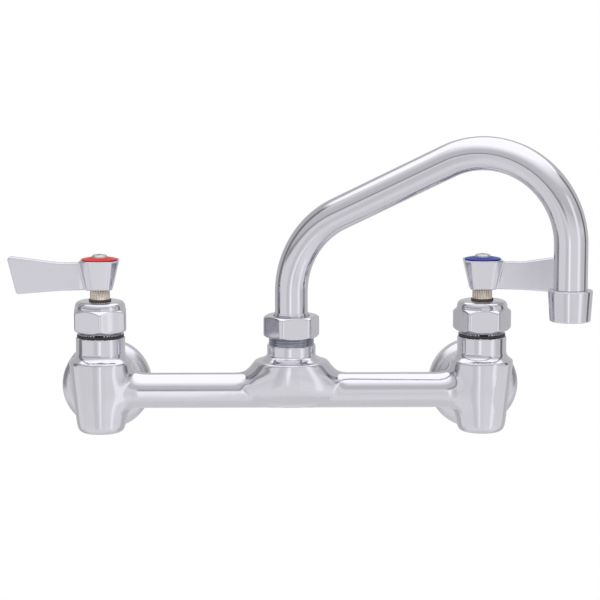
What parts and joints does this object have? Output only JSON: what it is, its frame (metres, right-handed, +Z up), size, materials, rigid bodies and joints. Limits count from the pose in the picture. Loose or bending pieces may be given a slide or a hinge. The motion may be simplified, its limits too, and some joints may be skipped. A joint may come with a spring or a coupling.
{
  "type": "wall mounted commercial faucet",
  "caption": "Wall-mounted commercial bridge faucet with lever handles, compression valves, adjustable wall flanges and a bent swing spout with an aerator.",
  "frame": {"origin": "midway between the two wall inlets, on the plane of the wall", "axes": "+X to the cold side, which is the viewer's right; +Y into the wall; +Z up"},
  "size_m": [0.303, 0.1258, 0.1693],
  "materials": {
    "chrome_body": "polished chrome plate on cast brass",
    "chrome_trim": "polished chrome plate on turned brass",
    "chrome_handle": "soft chrome plate on cast zinc",
    "brass_stem": "machined bare brass",
    "screw_steel": "stainless steel",
    "black_rubber": "matte",
    "red_ring": "gloss red",
    "blue_ring": "gloss blue",
    "fibre": "pressed fibre",
    "plastic": "white acetal"
  },
  "bodies": {
    "faucet_body": {"body_casting": "chrome_body", "hot_coupling_nut": "chrome_trim", "hot_union_washer": "fibre", "hot_valve_seat": "brass_stem", "hot_bonnet": "chrome_trim", "hot_bonnet_gasket": "black_rubber", "hot_stem_wiper": "black_rubber", "cold_coupling_nut": "chrome_trim", "cold_union_washer": "fibre", "cold_valve_seat": "brass_stem", "cold_bonnet": "chrome_trim", "cold_bonnet_gasket": "black_rubber", "cold_stem_wiper": "black_rubber", "spout_nut": "chrome_trim", "spout_bearing": "plastic", "spout_split_ring": "plastic"},
    "swing_spout": {"spout_ferrule": "chrome_trim", "spout_seals": "black_rubber", "spout_tube": "chrome_trim", "outlet_ferrule": "chrome_trim", "aerator_shell": "chrome_trim", "outlet_washer": "black_rubber", "aerator_insert": "plastic", "aerator_screen": "screw_steel"},
    "hot_plunger": {"hot_washer_holder": "brass_stem", "hot_seat_washer": "black_rubber", "hot_washer_screw": "brass_stem"},
    "hot_handle": {"hot_stem": "brass_stem", "hot_stem_seals": "black_rubber", "hot_lever": "chrome_handle", "hot_index_ring": "red_ring", "hot_handle_screw": "screw_steel"},
    "hot_flange": {"hot_wall_flange": "chrome_trim"},
    "cold_plunger": {"cold_washer_holder": "brass_stem", "cold_seat_washer": "black_rubber", "cold_washer_screw": "brass_stem"},
    "cold_handle": {"cold_stem": "brass_stem", "cold_stem_seals": "black_rubber", "cold_lever": "chrome_handle", "cold_index_ring": "blue_ring", "cold_handle_screw": "screw_steel"},
    "cold_flange": {"cold_wall_flange": "chrome_trim"}
  },
  "joints": [
    {"name": "spout_swing", "type": "hinge", "parent": "faucet_body", "child": "swing_spout", "pos_m": [0, -0.0572, 0.0058], "axis": [0, 0, 1], "range_deg": [-140, 4]},
    {"name": "hot_lift", "type": "slide", "parent": "faucet_body", "child": "hot_plunger", "axis": [0, 0, 1], "range_m": [0, 0.003]},
    {"name": "hot_turn", "type": "hinge", "parent": "hot_plunger", "child": "hot_handle", "pos_m": [-0.1016, -0.0572, 0.0058], "axis": [0, 0, 1], "range_deg": [0, 180]},
    {"name": "hot_flange_adjust", "type": "hinge", "parent": "faucet_body", "child": "hot_flange", "pos_m": [-0.1016, -0.0572, 0.0058], "axis": [0, 1, 0], "range_deg": [-90, 90]},
    {"name": "cold_lift", "type": "slide", "parent": "faucet_body", "child": "cold_plunger", "axis": [0, 0, 1], "range_m": [0, 0.003]},
    {"name": "cold_turn", "type": "hinge", "parent": "cold_plunger", "child": "cold_handle", "pos_m": [0.1016, -0.0572, 0.0058], "axis": [0, 0, -1], "range_deg": [0, 180]},
    {"name": "cold_flange_adjust", "type": "hinge", "parent": "faucet_body", "child": "cold_flange", "pos_m": [0.1016, -0.0572, 0.0058], "axis": [0, 1, 0], "range_deg": [-90, 90]}
  ],
  "couplings": [
    {"joint": "hot_lift", "follows": "hot_turn", "m_per_rad": 0.000954},
    {"joint": "cold_lift", "follows": "cold_turn", "m_per_rad": 0.000954}
  ]
}
